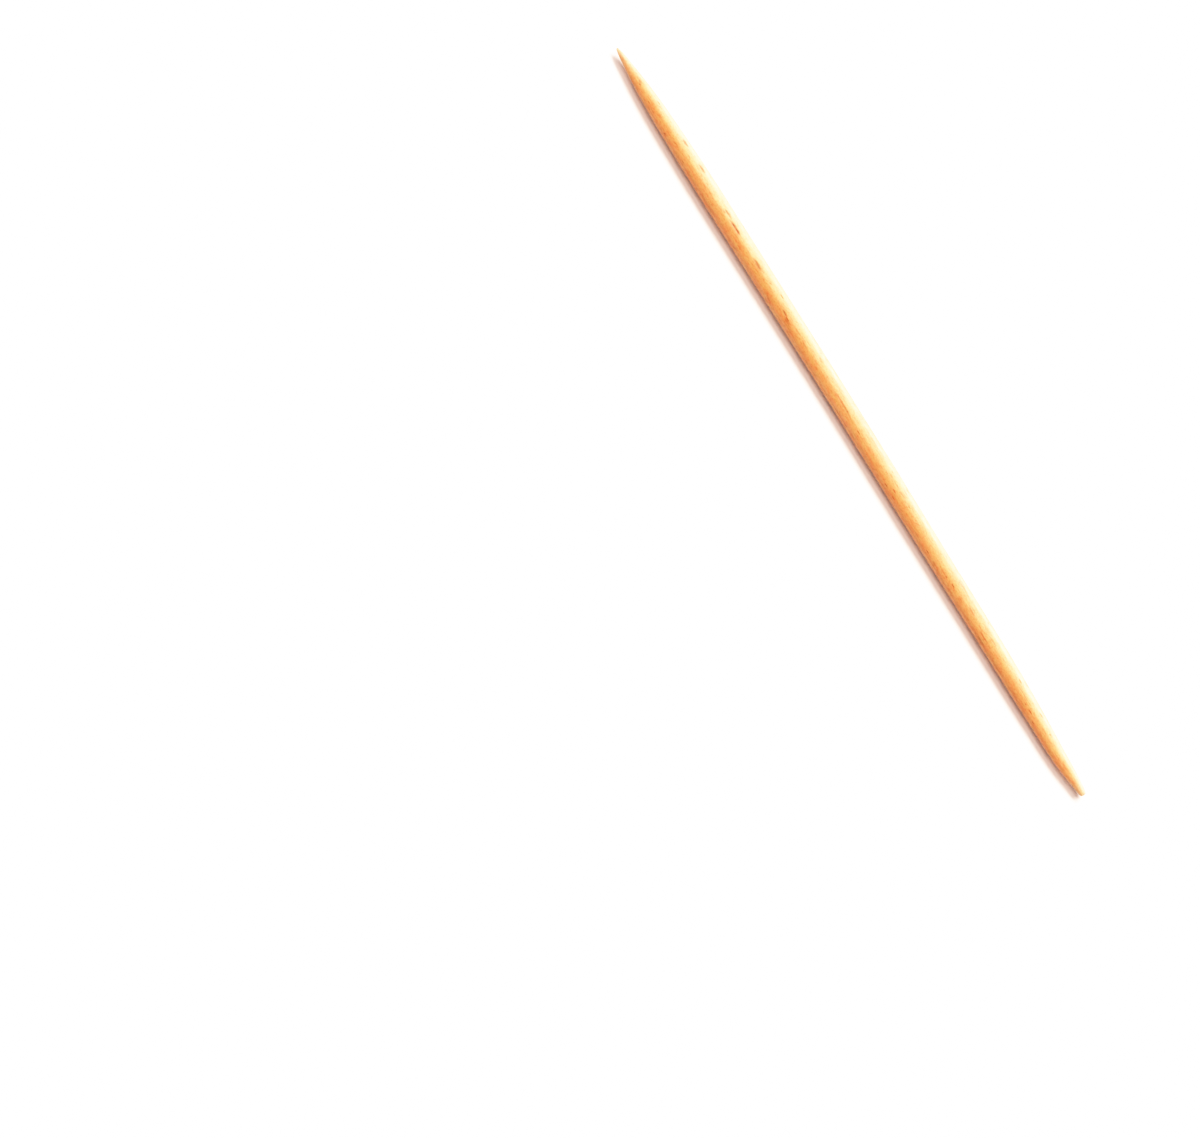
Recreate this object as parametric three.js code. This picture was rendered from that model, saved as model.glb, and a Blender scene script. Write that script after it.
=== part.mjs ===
// Cocktail stick: one round piece of pale hardwood, pointed at both ends.
//
// The stick lies on the surface along +X, with +Z up. Its sharper point is at
// -X and its blunter point at +X. The origin is at the middle of its footprint,
// on the surface. All sizes are in millimetres.

import * as THREE from 'three';
import { mergeVertices } from 'three/addons/utils/BufferGeometryUtils.js';

// ---- driving dimensions ----------------------------------------------------
const LENGTH = 80.0;            // tip to tip
const DIAMETER = 2.0;           // full thickness, over the middle of the stick
const SHARP_POINT_LENGTH = 17.3; // how far the -X point runs back to full thickness
const BLUNT_POINT_LENGTH = 18.2; // how far the +X point runs back to full thickness
const SHARP_TIP_DIAMETER = 0.24; // the small flat left at the very end at -X
const BLUNT_TIP_DIAMETER = 0.52; // the larger flat left at the very end at +X
const POINT_FULLNESS = 3.0;     // 1 is a straight cone, and more is a rounder, fuller point
const BOW = 0.29;               // how far the middle stands off the straight line between the tips, towards +Y
const SIDES = 20;               // flats round the stick, with one of them underneath
const POINT_RINGS = 12;         // rings along the outer part of each point, closer together near the tip
const OUTER_PART = 0.5;         // the share of each point that those rings take, and one step joins it to the middle

// ---- profile along the stick -----------------------------------------------
// The points are ground, so they are full, ogival curves that flow into the shank.
function pointRadius(fromTip, pointLength, tipDiameter) {
  const full = DIAMETER / 2;
  const tip = tipDiameter / 2;
  const left = Math.max(0, 1 - fromTip / pointLength);
  return tip + (full - tip) * (1 - Math.pow(left, POINT_FULLNESS));
}

// Distances from one tip, from the tip to the end of the point.
function pointStations(pointLength) {
  const out = [];
  for (let i = 0; i <= POINT_RINGS; i++) {
    out.push(pointLength * OUTER_PART * Math.pow(i / POINT_RINGS, 1.5));
  }
  out.push(pointLength);
  return out;
}

function profile() {
  const pts = [new THREE.Vector2(0, -LENGTH / 2)];
  for (const d of pointStations(SHARP_POINT_LENGTH)) {
    pts.push(new THREE.Vector2(pointRadius(d, SHARP_POINT_LENGTH, SHARP_TIP_DIAMETER), -LENGTH / 2 + d));
  }
  // The middle is one long step, so each of its flats is a single plane that can lie still on a surface.
  for (const d of pointStations(BLUNT_POINT_LENGTH).reverse()) {
    pts.push(new THREE.Vector2(pointRadius(d, BLUNT_POINT_LENGTH, BLUNT_TIP_DIAMETER), LENGTH / 2 - d));
  }
  pts.push(new THREE.Vector2(0, LENGTH / 2));
  return pts;
}

// ---- the solid ---------------------------------------------------------------
function stickGeometry() {
  // Half a flat of turn puts one flat square underneath, so that the stick lies on it.
  const turned = new THREE.LatheGeometry(profile(), SIDES, Math.PI / SIDES, Math.PI * 2);
  turned.rotateZ(-Math.PI / 2); // the lathe's axis is Y, and the stick's is X
  turned.deleteAttribute('normal');
  turned.deleteAttribute('uv');
  const g = mergeVertices(turned, 1e-5);
  const p = g.attributes.position;

  // The slight bow that split and dried wood keeps. It lies in the surface's plane.
  for (let i = 0; i < p.count; i++) {
    const t = p.getX(i) / (LENGTH / 2);
    p.setY(i, p.getY(i) + BOW * (1 - t * t));
  }

  // Stand it on the surface, with the middle of its footprint at the origin.
  g.computeBoundingBox();
  const b = g.boundingBox;
  g.translate(-(b.min.x + b.max.x) / 2, -(b.min.y + b.max.y) / 2, -b.min.z);

  // Drop the sliver triangles that a lathe leaves where its profile meets the axis.
  const idx = g.index.array;
  const keep = [];
  for (let i = 0; i < idx.length; i += 3) {
    const [a, c, d] = [idx[i], idx[i + 1], idx[i + 2]];
    if (a !== c && c !== d && d !== a) keep.push(a, c, d);
  }
  g.setIndex(keep);

  // Faces point out: a negative volume means that they all need turning over.
  const v = (k, out) => out.fromBufferAttribute(p, k);
  const A = new THREE.Vector3(), B = new THREE.Vector3(), C = new THREE.Vector3();
  let volume = 0;
  for (let i = 0; i < keep.length; i += 3) {
    volume += v(keep[i], A).dot(v(keep[i + 1], B).cross(v(keep[i + 2], C))) / 6;
  }
  if (volume < 0) {
    for (let i = 0; i < keep.length; i += 3) {
      [keep[i + 1], keep[i + 2]] = [keep[i + 2], keep[i + 1]];
    }
    g.setIndex(keep);
  }
  g.computeVertexNormals();
  return g;
}

// ---- the scene graph ---------------------------------------------------------
const wood = new THREE.MeshStandardMaterial({
  name: 'bare_wood',
  color: new THREE.Color('#e9b77c'),
  roughness: 0.72,
  metalness: 0.0,
});

const stick = new THREE.Mesh(stickGeometry(), wood);
stick.name = 'stick';

const cocktailStick = new THREE.Group();
cocktailStick.name = 'cocktail_stick';
cocktailStick.add(stick);

export default cocktailStick;
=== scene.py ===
"""A wooden cocktail stick: one length of pale hardwood, turned round and ground to a
point at each end. The stick lies along X on a white surface, with its sharper point at
-X. Sizes below are in millimetres unless a name says otherwise, and the mesh is written
in metres."""
import math

import bpy
import numpy as np
from mathutils import Matrix, Vector


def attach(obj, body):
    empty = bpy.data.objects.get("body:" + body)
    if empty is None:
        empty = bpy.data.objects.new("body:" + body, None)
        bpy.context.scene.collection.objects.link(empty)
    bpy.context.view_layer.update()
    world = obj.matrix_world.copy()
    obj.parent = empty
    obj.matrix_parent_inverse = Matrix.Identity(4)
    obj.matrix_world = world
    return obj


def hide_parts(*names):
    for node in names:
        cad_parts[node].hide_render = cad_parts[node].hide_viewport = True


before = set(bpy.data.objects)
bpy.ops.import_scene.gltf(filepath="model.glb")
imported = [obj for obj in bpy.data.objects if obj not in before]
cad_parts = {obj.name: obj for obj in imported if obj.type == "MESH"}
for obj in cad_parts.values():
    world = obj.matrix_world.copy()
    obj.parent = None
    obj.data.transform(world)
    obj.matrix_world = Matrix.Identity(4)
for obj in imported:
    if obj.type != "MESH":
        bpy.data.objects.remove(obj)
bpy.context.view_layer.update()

MM = 0.001
TAU = 2.0 * math.pi

# ---- the stick's measured form ------------------------------------------------------
HALF = 40.0

# radius along the stick: (distance from the sharp tip, radius)
RADIUS = [
    (0.00, 0.118), (0.45, 0.215), (0.91, 0.292), (1.82, 0.390), (2.72, 0.482),
    (4.09, 0.620), (5.45, 0.722), (6.81, 0.797), (8.17, 0.852), (9.53, 0.893),
    (10.90, 0.928), (13.62, 0.974), (16.35, 0.996), (20.0, 0.999), (45.4, 0.999),
    (50.0, 0.985), (54.5, 0.962), (60.0, 0.948), (65.4, 0.934), (68.1, 0.912),
    (70.8, 0.866), (72.6, 0.812), (74.5, 0.752), (75.8, 0.694), (77.2, 0.612),
    (78.1, 0.532), (78.8, 0.460), (79.45, 0.386), (79.80, 0.330), (80.00, 0.272),
]

# how far the axis stands off the straight line between the tips, towards +Y
BOW = [
    (0.0, -0.045), (4.1, 0.040), (9.5, 0.109), (13.6, 0.154), (18.2, 0.182),
    (27.2, 0.245), (36.3, 0.290), (45.4, 0.272), (54.5, 0.227), (63.6, 0.218),
    (68.1, 0.182), (72.6, 0.109), (74.5, 0.060), (75.8, 0.030), (77.2, 0.040),
    (78.8, 0.075), (80.0, 0.064),
]
TIP_Y = -0.215   # the straight line between the tips
AXIS_Z = 0.999


def smooth_curve(knots, x):
    """A smooth curve through the knots that never overshoots them."""
    kx = np.array([k[0] for k in knots], float)
    ky = np.array([k[1] for k in knots], float)
    h = np.diff(kx)
    d = np.diff(ky) / h
    m = np.zeros(len(kx))
    for i in range(1, len(kx) - 1):
        if d[i - 1] * d[i] > 0:
            a = 2 * h[i] + h[i - 1]
            b = h[i] + 2 * h[i - 1]
            m[i] = (a + b) / (a / d[i - 1] + b / d[i])
    m[0], m[-1] = d[0], d[-1]
    x = np.clip(np.asarray(x, float), kx[0], kx[-1])
    i = np.clip(np.searchsorted(kx, x, side="right") - 1, 0, len(h) - 1)
    t = (x - kx[i]) / h[i]
    return (
        (1 + 2 * t) * (1 - t) ** 2 * ky[i]
        + t * (1 - t) ** 2 * h[i] * m[i]
        + t * t * (3 - 2 * t) * ky[i + 1]
        + t * t * (t - 1) * h[i] * m[i + 1]
    )


def smoothstep(a, b, v):
    t = np.clip((v - a) / (b - a), 0.0, 1.0)
    return t * t * (3 - 2 * t)


# ---- wood structure -----------------------------------------------------------------
def fibre_noise(p, cell, seed):
    """Smooth noise in the wood itself, in cells that are long along the grain. Because it
    fills the wood, the ground points cut through it as they cut through real grain."""
    rng = np.random.default_rng(seed)
    lo = np.array([-44.0, -2.0, -2.0])
    n = [int(math.ceil(s / c)) + 3 for s, c in zip((88.0, 4.0, 4.0), cell)]
    grid = rng.uniform(-1.0, 1.0, n)
    q = (p - lo) / np.array(cell)
    i = np.floor(q).astype(int)
    f = q - i
    f = f * f * (3 - 2 * f)
    i = np.clip(i, 0, np.array(n) - 2)
    out = np.zeros(len(p))
    for a in (0, 1):
        wa = f[:, 0] if a else 1 - f[:, 0]
        for b in (0, 1):
            wb = f[:, 1] if b else 1 - f[:, 1]
            for c in (0, 1):
                wc = f[:, 2] if c else 1 - f[:, 2]
                out += wa * wb * wc * grid[i[:, 0] + a, i[:, 1] + b, i[:, 2] + c]
    return out


def turn(a, b):
    """The smaller angle from b to a."""
    return (a - b + math.pi) % TAU - math.pi


# Long dark marks where a vessel or a torn fibre lies open, cut as grooves and darkened in colour, partly their own
# colour and partly painted shade in the groove:
# distance from the sharp tip, angle from the top towards +Y in degrees, length, width, strength.
STREAKS = [
    (3.90, 2, 0.60, 0.22, 0.45), (10.95, 30, 1.00, 0.24, 0.60),
    (13.72, 27, 1.15, 0.24, 0.70), (18.55, 16, 1.25, 0.22, 0.65),
    (20.00, 8, 1.85, 0.25, 0.80), (23.95, 3, 1.40, 0.24, 0.62),
    (29.00, -13, 0.85, 0.24, 0.58),
    (34.40, 18, 0.90, 0.12, 0.35), (41.00, 44, 1.10, 0.11, 0.35),
    (47.60, 8, 0.90, 0.11, 0.30), (52.30, -40, 1.60, 0.12, 0.35),
    (58.80, 30, 1.00, 0.12, 0.40), (64.10, 6, 1.30, 0.12, 0.40),
    (68.90, 52, 0.80, 0.12, 0.40), (25.40, 118, 2.20, 0.16, 0.80),
    (31.00, 152, 1.40, 0.14, 0.65), (44.20, 135, 1.80, 0.16, 0.75),
    (50.90, 96, 1.00, 0.13, 0.60), (61.70, 171, 1.50, 0.15, 0.70),
    (15.50, -150, 1.20, 0.14, 0.65), (38.30, -122, 2.40, 0.17, 0.85),
    (55.60, -96, 1.10, 0.14, 0.60), (66.80, -140, 1.70, 0.15, 0.70),
    (28.70, -88, 0.90, 0.13, 0.55), (8.30, 110, 1.00, 0.14, 0.60),
]

# Small pits where a knot of fibre has pulled out: distance, angle, diameter, depth.
PITS = [
    (4.1, -14, 0.17, 0.035), (6.9, 20, 0.10, 0.018), (9.2, -48, 0.12, 0.024),
    (17.1, -33, 0.12, 0.020), (26.0, 6, 0.11, 0.018), (33.8, 41, 0.13, 0.022),
    (39.6, -9, 0.10, 0.016), (46.4, 27, 0.12, 0.020), (57.0, -24, 0.11, 0.018),
    (62.5, 44, 0.13, 0.022), (70.4, -20, 0.12, 0.022), (73.9, 16, 0.13, 0.024),
    (12.2, 140, 0.15, 0.030), (36.5, 178, 0.16, 0.032), (48.8, -160, 0.15, 0.030),
    (59.3, 112, 0.14, 0.028), (71.6, 150, 0.15, 0.030), (21.9, -112, 0.14, 0.028),
]

# Torn grain: distance, angle, length, width, depth. One edge of each stands up a little.
TEARS = [
    (30.3, 128, 3.40, 0.26, 0.034),
    (45.8, -128, 2.90, 0.22, 0.030), (66.2, 158, 2.40, 0.20, 0.028),
    (53.4, 68, 1.80, 0.14, 0.018), (11.6, -104, 2.00, 0.16, 0.024),
]


def surface(x, th, r, p):
    """Relief and marks for points of the skin: x along the stick from the sharp tip, th the
    angle from the underside towards +Y, r the radius there and p the place in the wood."""
    tip = np.minimum(x, 80.0 - x)
    calm = 0.35 + 0.65 * smoothstep(0.3, 4.0, tip)       # finer relief on the thin ends
    ground = 1.0 - smoothstep(13.0, 19.0, tip)           # the ground points
    dr = np.zeros(len(x))
    # not perfectly round, and a little uneven along its length
    dr += 0.010 * r * np.cos(2 * (th - 0.6)) + 0.004 * r * np.cos(3 * (th + x * 0.01))
    dr += 0.010 * calm * fibre_noise(p, (13.0, 1.3, 1.3), 11)
    dr += 0.004 * calm * fibre_noise(p, (4.0, 0.55, 0.55), 12)
    # the fibres themselves
    fib = fibre_noise(p, (2.1, 0.21, 0.21), 13)
    fine = fibre_noise(p, (0.72, 0.115, 0.115), 14)
    dr += calm * (0.0042 * fib + 0.0034 * fine)
    # the cutter's faint chatter along the shank, and grit lines round the ground points
    dr += (1 - ground) * 0.0016 * np.sin(x * TAU / 0.74 + 1.3 * fibre_noise(p, (6.0, 1.5, 1.5), 15))
    dr += ground * calm * 0.0022 * fibre_noise(p, (0.17, 0.9, 0.9), 16)
    # the two faint ridges where the halves of the cutter met
    for k, side in enumerate((1.92, 1.92 + math.pi)):
        w = np.exp(-(turn(th, side + 0.03 * np.sin(x * 0.11 + k)) * r / 0.055) ** 2)
        dr += (1 - ground) * w * (0.006 + 0.006 * fibre_noise(p, (2.2, 3.0, 3.0), 17 + k))
    # open pores: short, narrow grooves along the grain
    pore_n = fibre_noise(p, (1.35, 0.125, 0.125), 21)
    pore = smoothstep(0.50, 0.78, pore_n) * smoothstep(-0.5, 0.35, fibre_noise(p, (9.0, 0.8, 0.8), 22))
    dr -= 0.013 * calm * pore

    streak = np.zeros(len(x))
    for s, a, length, width, strength in STREAKS:
        c = math.pi - math.radians(a)
        u = (x - s) / (length / 2)
        near = np.abs(u) < 1.3
        if not near.any():
            continue
        wob = 0.018 * np.sin(x * 4.1 + s) + 0.018 * fibre_noise(p, (0.6, 4.0, 4.0), int(s * 10))
        thick = 1.0 + 0.35 * fibre_noise(p, (0.34, 4.0, 4.0), int(s * 10) + 2)
        v = (turn(th, c) * r + wob) / (width / 2 * thick * (1.0 - 0.55 * np.abs(u)).clip(0.15))
        m = np.exp(-(v ** 2)) * smoothstep(1.15, 0.45, np.abs(u))
        broken = 0.70 + 0.30 * smoothstep(-0.6, 0.3, fibre_noise(p, (0.30, 0.3, 0.3), int(s * 10) + 1))
        m = m * broken * near
        streak = np.maximum(streak, m * strength)
        dr -= 0.042 * m * strength * calm
    pit = np.zeros(len(x))
    for s, a, dia, depth in PITS:
        c = math.pi - math.radians(a)
        d = np.hypot((x - s) * 0.62, turn(th, c) * r) / (dia / 2)
        d = d * (1 + 0.35 * fibre_noise(p, (0.12, 0.10, 0.10), int(s * 7) + 300))
        m = smoothstep(1.15, 0.45, d)
        pit = np.maximum(pit, m)
        dr -= depth * m
        dr += 0.35 * depth * np.exp(-((d - 1.35) / 0.35) ** 2)
    tear = np.zeros(len(x))
    lift = np.zeros(len(x))
    for s, a, length, width, depth in TEARS:
        c = math.pi - math.radians(a)
        u = (x - s) / (length / 2)
        n = fibre_noise(p, (0.5, 0.14, 0.14), int(s * 5) + 500)
        v = (turn(th, c) * r + 0.05 * n) / (width / 2)
        m = smoothstep(1.15, 0.75, np.abs(v) + 0.25 * n) * smoothstep(1.1, 0.6, np.abs(u) + 0.3 * n)
        tear = np.maximum(tear, m)
        dr -= depth * m * (0.75 + 0.5 * fibre_noise(p, (0.8, 0.07, 0.07), int(s * 5) + 501))
        lip = np.exp(-((v - 1.3) / 0.40) ** 2) * smoothstep(1.0, 0.4, np.abs(u) + 0.3 * n)
        lift = np.maximum(lift, lip)
        dr += 0.6 * depth * lip
    return dr, pore * calm, streak, pit, tear, lift


# ---- the mesh -----------------------------------------------------------------------
SIDES = 128


def stations():
    """Ring positions along the stick, closer together at the two tips."""
    d = [0.0]
    while d[-1] < 40.0:
        t = d[-1]
        d.append(t + 0.030 + 0.086 * float(smoothstep(0.0, 3.0, np.array(t))))
    left = np.array(d[:-1])
    left = left * (40.0 / left[-1])
    return np.concatenate([left, 80.0 - left[::-1][1:]])


def build_stick():
    xs = stations()
    r = smooth_curve(RADIUS, xs)
    rings = []                     # (x from the sharp tip, radius, sides)
    # rounded ends: each tip closes over a shallow, slightly uneven dome
    def dome(r0, height, count):
        out = []
        for k in range(1, count + 1):
            a = k / (count + 1) * math.pi / 2
            out.append((height * math.sin(a), r0 * math.cos(a)))
        return out

    sharp = dome(r[0], 0.075, 7)
    blunt = dome(r[-1], 0.11, 8)

    def sides_for(rad):
        if rad > 0.52:
            return SIDES
        if rad > 0.24:
            return SIDES // 2
        if rad > 0.10:
            return SIDES // 4
        return SIDES // 8

    # the domes take the last fraction of a millimetre, so the whole stays 80 mm long
    shrink = (80.0 - 0.075 - 0.11) / 80.0
    body = [(0.075 + x * shrink, rr) for x, rr in zip(xs, r)]
    seq = [(0.075 - h, rr, 1) for h, rr in sharp[::-1]]
    seq += [(x, rr, 0) for x, rr in body]
    seq += [(body[-1][0] + h, rr, 2) for h, rr in blunt]
    rings = [(x, rr, sides_for(rr), cap) for x, rr, cap in seq]

    X, TH, R, start = [], [], [], []
    count = 0
    for x, rr, n, cap in rings:
        start.append(count)
        th = np.arange(n) / n * TAU
        X.append(np.full(n, x)); TH.append(th); R.append(np.full(n, rr))
        count += n
    X, TH, R = map(np.concatenate, (X, TH, R))
    pole_a, pole_b = count, count + 1
    X = np.append(X, [0.0, 80.0])
    TH = np.append(TH, [0.0, 0.0])
    R = np.append(R, [0.0, 0.0])

    wood = np.stack([X - HALF, R * np.sin(TH), -R * np.cos(TH)], axis=1)
    dr, pore, streak, pit, tear, lift = surface(X, TH, R, wood)
    fade = smoothstep(0.0, 0.16, R)
    dr = dr * fade
    RR = np.maximum(R + dr, 0.0)
    # the ends are a touch ragged, as grinding leaves them
    endx = np.zeros(len(X))
    ragged = fibre_noise(wood * np.array([0.0, 1, 1]) + np.array([3.0, 0, 0]), (5.0, 0.13, 0.13), 31)
    endx += 0.030 * ragged * smoothstep(0.20, 0.0, X)
    endx -= 0.045 * ragged * smoothstep(79.75, 80.0, X)

    yc = TIP_Y + smooth_curve(BOW, X)
    pos = np.stack([X - HALF + endx, yc + RR * np.sin(TH), AXIS_Z - RR * np.cos(TH)], axis=1)
    pos[:, 2] -= pos[:, 2].min()
    pos[:, 0] = np.clip(pos[:, 0], -HALF, HALF)

    faces, uvs, cell = [], [], []

    # four lengthwise quarters of the skin, one above the other, and the two ends beside them
    def uv(x, turns, cap, rr, th):
        if cap:
            cx = 0.03 if cap == 1 else 0.07
            q = 0.0095 * min(1.0, rr / (0.13 if cap == 1 else 0.30))
            return (cx + q * math.cos(th), 0.9865 + q * math.sin(th))
        row = int(min(3, max(0, math.floor(x / 20.0))))
        return (0.004 + 0.992 * (x - 20.0 * row) / 20.0, 0.004 + 0.243 * row + 0.235 * turns)

    for i in range(len(rings) - 1):
        (xa, ra, na, ca), (xb, rb, nb, cb) = rings[i], rings[i + 1]
        sa, sb = start[i], start[i + 1]
        cap = ca or cb
        row = int(min(3, max(0, math.floor((xa + xb) / 40.0))))

        def at(x, rr, k, n):
            th = k / n * TAU
            if cap:
                return uv(x, 0, cap, rr, th)
            xx = min(max(x, 20.0 * row), 20.0 * row + 20.0)
            return (0.004 + 0.992 * (xx - 20.0 * row) / 20.0, 0.004 + 0.243 * row + 0.235 * k / n)

        if na == nb:
            for k in range(na):
                k2 = (k + 1) % na
                faces.append((sa + k, sb + k, sb + k2, sa + k2))
                uvs += [at(xa, ra, k, na), at(xb, rb, k, nb), at(xb, rb, k + 1, nb), at(xa, ra, k + 1, na)]
        elif na > nb:
            for k in range(nb):
                k2 = (k + 1) % nb
                f0, f1, f2 = sa + 2 * k, sa + 2 * k + 1, sa + (2 * k + 2) % na
                faces += [(f0, sb + k, f1), (f1, sb + k, sb + k2), (f1, sb + k2, f2)]
                U = at(xa, ra, 2 * k, na), at(xa, ra, 2 * k + 1, na), at(xa, ra, 2 * k + 2, na)
                W = at(xb, rb, k, nb), at(xb, rb, k + 1, nb)
                uvs += [U[0], W[0], U[1], U[1], W[0], W[1], U[1], W[1], U[2]]
        else:
            for k in range(na):
                k2 = (k + 1) % na
                f0, f1, f2 = sb + 2 * k, sb + 2 * k + 1, sb + (2 * k + 2) % nb
                faces += [(sa + k, f0, f1), (sa + k, f1, sa + k2), (sa + k2, f1, f2)]
                U = at(xb, rb, 2 * k, nb), at(xb, rb, 2 * k + 1, nb), at(xb, rb, 2 * k + 2, nb)
                W = at(xa, ra, k, na), at(xa, ra, k + 1, na)
                uvs += [W[0], U[0], U[1], W[0], U[1], W[1], W[1], U[1], U[2]]
    # the two poles
    xa, ra, na, _ = rings[0]
    for k in range(na):
        faces.append((pole_a, start[0] + k, start[0] + (k + 1) % na))
        uvs += [uv(0, 0, 1, 0.0, 0.0), uv(xa, 0, 1, ra, k / na * TAU), uv(xa, 0, 1, ra, (k + 1) / na * TAU)]
    xb, rb, nb, _ = rings[-1]
    for k in range(nb):
        faces.append((pole_b, start[-1] + (k + 1) % nb, start[-1] + k))
        uvs += [uv(80, 0, 2, 0.0, 0.0), uv(xb, 0, 2, rb, (k + 1) / nb * TAU), uv(xb, 0, 2, rb, k / nb * TAU)]

    # turn every face, with its corners of the map, so that the skin faces out
    first = 0
    for i, face in enumerate(faces):
        last = first + len(face)
        faces[i] = face[::-1]
        uvs[first:last] = uvs[first:last][::-1]
        first = last

    mesh = bpy.data.meshes.new("stick_wood")
    mesh.from_pydata([tuple(v) for v in pos * MM], [], faces)
    layer = mesh.uv_layers.new(name="OFBake")
    layer.data.foreach_set("uv", np.array(uvs, np.float32).ravel())
    mesh.polygons.foreach_set("use_smooth", [True] * len(mesh.polygons))

    def attribute(name, values):
        a = mesh.attributes.new(name, "FLOAT", "POINT")
        a.data.foreach_set("value", np.asarray(values, np.float32))

    a = mesh.attributes.new("grain", "FLOAT_VECTOR", "POINT")
    a.data.foreach_set("vector", wood.astype(np.float32).ravel())
    attribute("pore", pore)
    attribute("streak", streak)
    attribute("pit", pit)
    attribute("tear", tear)
    attribute("lift", lift)
    end = np.zeros(len(X))
    end = np.maximum(smoothstep(0.10, 0.0, X), smoothstep(79.86, 80.0, X))
    attribute("end_grain", end)
    attribute("point", np.maximum(smoothstep(3.4, 0.3, X), smoothstep(77.6, 79.9, X)))
    mesh.update()
    return mesh


mesh = build_stick()
stick = bpy.data.objects.new("stick_wood", mesh)
bpy.context.scene.collection.objects.link(stick)


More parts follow.
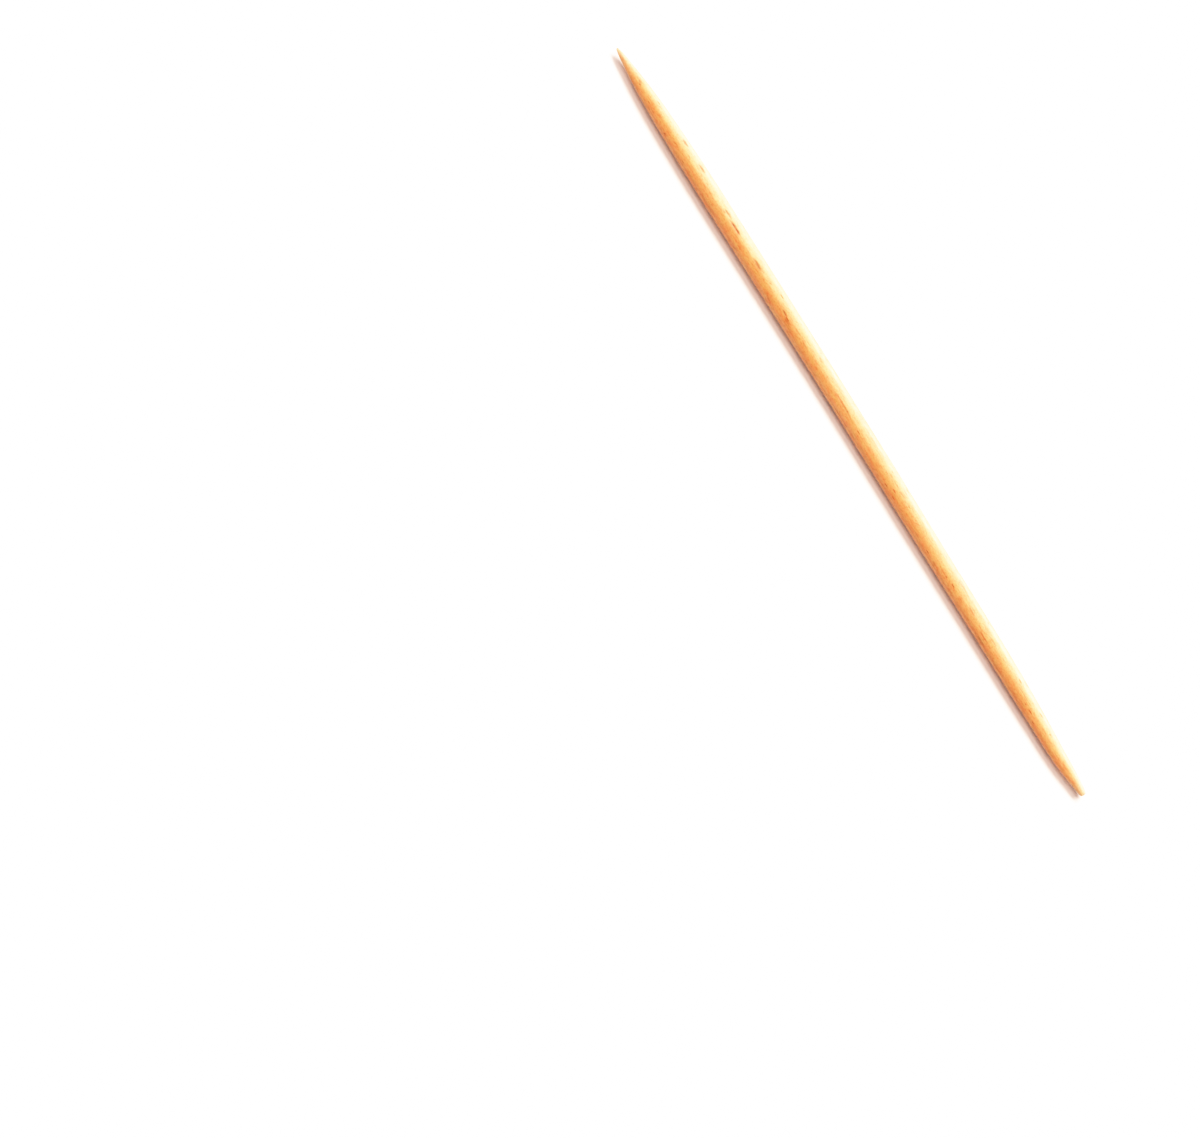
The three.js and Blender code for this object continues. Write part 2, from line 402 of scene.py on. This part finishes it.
# ---- the wood -----------------------------------------------------------------------
def wood_material():
    mat = bpy.data.materials.new("pale_hardwood")
    mat.use_nodes = True
    nt = mat.node_tree
    nt.nodes.clear()
    new = nt.nodes.new
    link = nt.links.new

    def attr(name):
        n = new("ShaderNodeAttribute")
        n.attribute_name = name
        return n

    def math_node(op, a, b=None, c=None, clamp=False):
        n = new("ShaderNodeMath")
        n.operation = op
        n.use_clamp = clamp
        for i, v in enumerate((a, b, c)):
            if v is None:
                continue
            if isinstance(v, (int, float)):
                n.inputs[i].default_value = v
            else:
                link(v, n.inputs[i])
        return n.outputs[0]

    def scaled(vec, scale, shift=(0, 0, 0), turned=0.0):
        n = new("ShaderNodeMapping")
        n.inputs["Location"].default_value = shift
        n.inputs["Rotation"].default_value = (turned, 0, 0)
        n.inputs["Scale"].default_value = scale
        link(vec, n.inputs["Vector"])
        return n.outputs[0]

    def noise(vec, scale=1.0, detail=2.0, rough=0.5, distortion=0.0):
        n = new("ShaderNodeTexNoise")
        n.inputs["Scale"].default_value = scale
        n.inputs["Detail"].default_value = detail
        n.inputs["Roughness"].default_value = rough
        n.inputs["Distortion"].default_value = distortion
        link(vec, n.inputs["Vector"])
        return n.outputs["Fac"]

    def ranged(v, a, b, c=0.0, d=1.0, smooth=True):
        n = new("ShaderNodeMapRange")
        n.interpolation_type = "SMOOTHSTEP" if smooth else "LINEAR"
        n.clamp = True
        n.inputs["From Min"].default_value = a
        n.inputs["From Max"].default_value = b
        n.inputs["To Min"].default_value = c
        n.inputs["To Max"].default_value = d
        link(v, n.inputs["Value"])
        return n.outputs[0]

    def ramp(v, stops):
        n = new("ShaderNodeValToRGB")
        cr = n.color_ramp
        while len(cr.elements) > 1:
            cr.elements.remove(cr.elements[-1])
        cr.elements[0].position, cr.elements[0].color = stops[0][0], (*stops[0][1], 1)
        for pos, col in stops[1:]:
            e = cr.elements.new(pos)
            e.color = (*col, 1)
        link(v, n.inputs["Fac"])
        return n.outputs["Color"]

    def mix(fac, a, b, kind="MIX"):
        n = new("ShaderNodeMix")
        n.data_type = "RGBA"
        n.blend_type = kind
        n.clamp_result = False
        for sock, v in ((n.inputs[0], fac), (n.inputs[6], a), (n.inputs[7], b)):
            if isinstance(v, (int, float)):
                sock.default_value = v
            elif isinstance(v, tuple):
                sock.default_value = (*v, 1)
            else:
                link(v, sock)
        return n.outputs[2]

    grain = attr("grain").outputs["Vector"]

    # long tones that run with the grain
    tone = noise(scaled(grain, (0.055, 1.1, 1.1), (3.1, 0.4, 1.7)), 1.0, 3.0, 0.55)
    colour = ramp(tone, [
        (0.30, (0.732, 0.390, 0.198)),
        (0.50, (0.708, 0.355, 0.166)),
        (0.68, (0.665, 0.317, 0.136)),
    ])

    # growth rings, about 0.8 mm apart, with a thin darker line at the end of each year
    wave = noise(scaled(grain, (0.022, 0.45, 0.45), (7.0, 2.0, 5.0)), 1.0, 2.0, 0.5)
    split = new("ShaderNodeSeparateXYZ")
    link(scaled(grain, (1.0, 1.0, 1.0), turned=0.62), split.inputs[0])
    ring = math_node("MULTIPLY", split.outputs["Z"], 1.25)
    ring = math_node("ADD", ring, math_node("MULTIPLY", wave, 1.9))
    ring = math_node("FRACT", ring)
    late = math_node("MULTIPLY", ranged(ring, 0.45, 0.93), ranged(ring, 1.0, 0.955))
    colour = mix(math_node("MULTIPLY", late, 0.30), colour, (0.90, 0.78, 0.66), "MULTIPLY")

    # patches that lean to pink or to straw
    hue = noise(scaled(grain, (1.15, 3.8, 3.8), (2.0, 6.0, 4.0)), 1.0, 3.0, 0.62)
    colour = mix(ranged(hue, 0.48, 0.68), colour, (1.04, 0.84, 0.82), "MULTIPLY")
    colour = mix(ranged(hue, 0.52, 0.32), colour, (0.96, 1.10, 1.04), "MULTIPLY")

    # fibres
    fibre = noise(scaled(grain, (0.9, 10.0, 10.0)), 1.0, 3.0, 0.62)
    hair = noise(scaled(grain, (2.2, 30.0, 30.0), (1.0, 5.0, 2.0)), 1.0, 2.0, 0.6)
    fuzz = noise(scaled(grain, (5.5, 7.5, 7.5), (4.0, 1.0, 6.0)), 1.0, 2.0, 0.65)
    speck = noise(scaled(grain, (3.4, 8.5, 8.5), (9.0, 3.0, 8.0)), 1.0, 2.0, 0.65)
    colour = mix(ranged(fibre, 0.34, 0.66, 0.0, 0.45), colour, (0.90, 0.80, 0.66), "MULTIPLY")
    colour = mix(ranged(speck, 0.48, 0.72, 0.0, 0.90), colour, (0.84, 0.76, 0.66), "MULTIPLY")
    colour = mix(ranged(speck, 0.46, 0.28, 0.0, 0.70), colour, (1.06, 1.12, 1.16), "MULTIPLY")
    colour = mix(ranged(hair, 0.58, 0.76, 0.0, 0.50), colour, (0.86, 0.74, 0.60), "MULTIPLY")
    colour = mix(ranged(fuzz, 0.52, 0.70, 0.0, 0.80), colour, (0.84, 0.74, 0.62), "MULTIPLY")
    colour = mix(ranged(fuzz, 0.46, 0.30, 0.0, 0.60), colour, (1.05, 1.08, 1.12), "MULTIPLY")

    # the last few millimetres of each point are finely ground, and a little paler and greyer
    colour = mix(math_node("MULTIPLY", attr("point").outputs["Fac"], 0.8), colour, (0.86, 1.19, 1.55), "MULTIPLY")

    # short vessel lines
    vor = new("ShaderNodeTexVoronoi")
    vor.feature = "F1"
    vor.inputs["Scale"].default_value = 1.0
    link(scaled(grain, (1.0, 7.5, 7.5), (0.3, 0.7, 0.1)), vor.inputs["Vector"])
    gate = new("ShaderNodeSeparateColor")
    link(vor.outputs["Color"], gate.inputs[0])
    vessel = math_node("MULTIPLY", ranged(vor.outputs["Distance"], 0.26, 0.12), ranged(gate.outputs[0], 0.50, 0.60))
    colour = mix(math_node("MULTIPLY", vessel, 0.55), colour, (0.72, 0.60, 0.52), "MULTIPLY")

    # brown flecks and open pores
    fleck_v = new("ShaderNodeTexVoronoi")
    fleck_v.feature = "F1"
    fleck_v.inputs["Scale"].default_value = 1.0
    link(scaled(grain, (0.62, 2.9, 2.9), (5.3, 1.7, 9.1)), fleck_v.inputs["Vector"])
    fgate = new("ShaderNodeSeparateColor")
    link(fleck_v.outputs["Color"], fgate.inputs[0])
    fleck = math_node("MULTIPLY", ranged(fleck_v.outputs["Distance"], 0.21, 0.10), ranged(fgate.outputs[1], 0.62, 0.80))
    colour = mix(math_node("MULTIPLY", fleck, 0.80), colour, (0.46, 0.36, 0.30), "MULTIPLY")

    # marks that go with the relief: the pores darker as grain; the streaks, pits and tears darker partly in their own
    # colour and partly as painted shade in these hollows; the tears' raised lips paler as a painted highlight
    pore, streak = attr("pore").outputs["Fac"], attr("streak").outputs["Fac"]
    pit, tear, lift = attr("pit").outputs["Fac"], attr("tear").outputs["Fac"], attr("lift").outputs["Fac"]
    end = attr("end_grain").outputs["Fac"]
    colour = mix(math_node("MULTIPLY", pore, 0.60), colour, (0.56, 0.46, 0.38), "MULTIPLY")
    # painted shade: the streak grooves are darkened nearly to black, on top of the open vessels' own darker colour
    colour = mix(streak, colour, (0.08, 0.06, 0.05), "MULTIPLY")
    # painted shade in the pits, on top of their own darker colour
    colour = mix(math_node("MULTIPLY", pit, 0.85), colour, (0.36, 0.28, 0.24), "MULTIPLY")
    # painted shade in the torn grooves, on top of their own slightly darker colour
    colour = mix(math_node("MULTIPLY", tear, 0.35), colour, (0.84, 0.74, 0.64), "MULTIPLY")
    # painted highlight: a paler colour on the raised lips of the tears
    colour = mix(math_node("MULTIPLY", lift, 0.45), colour, (0.93, 0.700, 0.420))
    cells = noise(scaled(grain, (3.0, 24.0, 24.0)), 1.0, 2.0, 0.6)
    endcol = mix(ranged(cells, 0.4, 0.65), (0.66, 0.36, 0.15), (0.38, 0.175, 0.065))
    colour = mix(math_node("MULTIPLY", end, 0.6), colour, endcol)

    # roughness: matt, a little silkier where the fibres lie flat
    rough = ranged(fibre, 0.3, 0.7, 0.50, 0.66, smooth=False)
    rough = math_node("ADD", rough, math_node("MULTIPLY", math_node("MAXIMUM", tear, pit), 0.2), clamp=True)
    rough = math_node("ADD", rough, math_node("MULTIPLY", end, 0.12), clamp=True)
    rough = math_node("ADD", rough, math_node("MULTIPLY", math_node("MAXIMUM", streak, fleck), 0.4), clamp=True)

    # micro relief, finer than the mesh carries
    height = math_node("ADD", math_node("MULTIPLY", fibre, 0.5), math_node("MULTIPLY", hair, 0.6))
    height = math_node("SUBTRACT", height, math_node("MULTIPLY", vessel, 0.7))
    height = math_node("SUBTRACT", height, math_node("MULTIPLY", fleck, 0.25))
    height = math_node("ADD", height, math_node("MULTIPLY", noise(scaled(grain, (9.0, 30.0, 30.0)), 1.0, 2.0, 0.6), 0.22))
    bump = new("ShaderNodeBump")
    bump.inputs["Strength"].default_value = 0.55
    bump.inputs["Distance"].default_value = 0.000012
    link(height, bump.inputs["Height"])

    bsdf = new("ShaderNodeBsdfPrincipled")
    link(colour, bsdf.inputs["Base Color"])
    link(rough, bsdf.inputs["Roughness"])
    link(bump.outputs[0], bsdf.inputs["Normal"])
    bsdf.inputs["IOR"].default_value = 1.5
    bsdf.inputs["Specular IOR Level"].default_value = 0.5
    bsdf.inputs["Sheen Weight"].default_value = 0.22
    bsdf.inputs["Sheen Roughness"].default_value = 0.45
    bsdf.inputs["Sheen Tint"].default_value = (1.0, 0.98, 0.94, 1)
    out = new("ShaderNodeOutputMaterial")
    link(bsdf.outputs[0], out.inputs["Surface"])
    return mat


mesh.materials.append(wood_material())
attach(stick, "root")
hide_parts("stick")


# ---- floor, light and camera ----------------------------------------------------------
def plain(name, colour, rough):
    m = bpy.data.materials.new(name)
    m.use_nodes = True
    b = m.node_tree.nodes["Principled BSDF"]
    b.inputs["Base Color"].default_value = (*colour, 1)
    b.inputs["Roughness"].default_value = rough
    b.inputs["Specular IOR Level"].default_value = 0.0
    return m


floor_mesh = bpy.data.meshes.new("floor")
S = 3.0
floor_mesh.from_pydata([(-S, -S, 0), (S, -S, 0), (S, S, 0), (-S, S, 0)], [], [(0, 1, 2, 3)])
floor = bpy.data.objects.new("floor", floor_mesh)
floor_mesh.materials.append(plain("white_table", (0.90, 0.90, 0.90), 1.0))
floor.location.z = -0.000004
bpy.context.scene.collection.objects.link(floor)

world = bpy.data.worlds.new("studio")
world.use_nodes = True
wt = world.node_tree
fill = wt.nodes["Background"]
fill.inputs["Color"].default_value = (0.87, 0.96, 1.11, 1)
fill.inputs["Strength"].default_value = 0.60
paper = wt.nodes.new("ShaderNodeBackground")      # what the camera sees past the edge of the table
paper.inputs["Color"].default_value = (1.0, 1.0, 1.0, 1)
paper.inputs["Strength"].default_value = 2.7
seen = wt.nodes.new("ShaderNodeLightPath")
either = wt.nodes.new("ShaderNodeMixShader")
wt.links.new(seen.outputs["Is Camera Ray"], either.inputs[0])
wt.links.new(fill.outputs[0], either.inputs[1])
wt.links.new(paper.outputs[0], either.inputs[2])
wt.links.new(either.outputs[0], wt.nodes["World Output"].inputs["Surface"])
bpy.context.scene.world = world

AWAY = 14.0   # metres from the stick to each softbox


def softbox(name, elevation, length, width, power):
    """An oblong softbox on the +Y side, its long side along the stick. Length and width are
    what it would measure at one metre, and power what it would need there."""
    d = bpy.data.lights.new(name, "AREA")
    d.shape = "RECTANGLE"
    d.size, d.size_y = length * AWAY, width * AWAY
    d.energy = power * AWAY * AWAY
    o = bpy.data.objects.new(name, d)
    e = math.radians(elevation)
    z = Vector((0.0, math.cos(e), math.sin(e)))
    x = Vector((1.0, 0.0, 0.0))
    o.location = z * AWAY
    o.rotation_euler = Matrix((x, z.cross(x), z)).transposed().to_euler()
    o.visible_camera = False
    bpy.context.scene.collection.objects.link(o)
    return o


# a key from the upper right of the picture and a weak light overhead
softbox("key", 60.0, 0.70, 0.26, 20.3)
softbox("overhead", 82.0, 0.70, 0.26, 4.9)
# two lights that only give the wood its silky shine: along the key, and along the far edge
softbox("key_shine", 60.0, 0.70, 0.26, 2.5).visible_diffuse = False
softbox("edge_shine", 4.0, 0.70, 0.26, 67.0).visible_diffuse = False

GLOW = [("Threshold", 1.6), ("Strength", 1.1), ("Size", 0.01)]

# the photograph's tones: contrasty, with highlights that run softly to white
REACH = 3.0
TONE_SCALE = (1.333, 1.011, 0.860)
CONTRAST = (1.65, 1.65, 1.65)
view = bpy.context.scene.view_settings
view.view_transform = "Standard"
view.look = "None"
view.exposure = 0.0
view.gamma = 1.0
view.use_curve_mapping = True
tone = view.curve_mapping
tone.extend = "HORIZONTAL"
tone.black_level = (0.0, 0.0, 0.0)
tone.white_level = (REACH, REACH, REACH)
for channel in range(3):
    points = tone.curves[channel].points
    for i in range(25):
        t = (i / 24) ** 1.4
        y = 1.0 - math.exp(-((TONE_SCALE[channel] * REACH * t) ** CONTRAST[channel]))
        if i == 24:
            y = 1.0
        if i in (0, 24):
            points[0 if i == 0 else -1].location = (t, y)
        else:
            points.new(t, y)
tone.update()

# a little of the white table's glow spills over the wood's edges, as it does in the lens
bpy.context.scene.use_nodes = True
ct = bpy.context.scene.node_tree
ct.nodes.clear()
taken = ct.nodes.new("CompositorNodeRLayers")
glow = ct.nodes.new("CompositorNodeGlare")
glow.glare_type = "BLOOM"
glow.quality = "HIGH"
for name, value in GLOW:
    glow.inputs[name].default_value = value
done = ct.nodes.new("CompositorNodeComposite")
ct.links.new(taken.outputs["Image"], glow.inputs["Image"])
ct.links.new(glow.outputs["Image"], done.inputs["Image"])

AZIMUTH, ELEVATION, DISTANCE = math.radians(58.8513), math.radians(80.0), 0.596266
AIM = Vector((0.000257, -0.026383, 0.001))
cam_data = bpy.data.cameras.new("camera")
cam_data.lens = 200.0
cam_data.sensor_width = 36.0
cam_data.clip_start = 0.01
cam_data.clip_end = 20.0
cam = bpy.data.objects.new("camera", cam_data)
back = Vector((
    math.sin(AZIMUTH) * math.cos(ELEVATION),
    -math.cos(AZIMUTH) * math.cos(ELEVATION),
    math.sin(ELEVATION),
))
cam.location = AIM + back * DISTANCE
cam.rotation_euler = (-back).to_track_quat("-Z", "Y").to_euler()
bpy.context.scene.collection.objects.link(cam)
bpy.context.scene.camera = cam
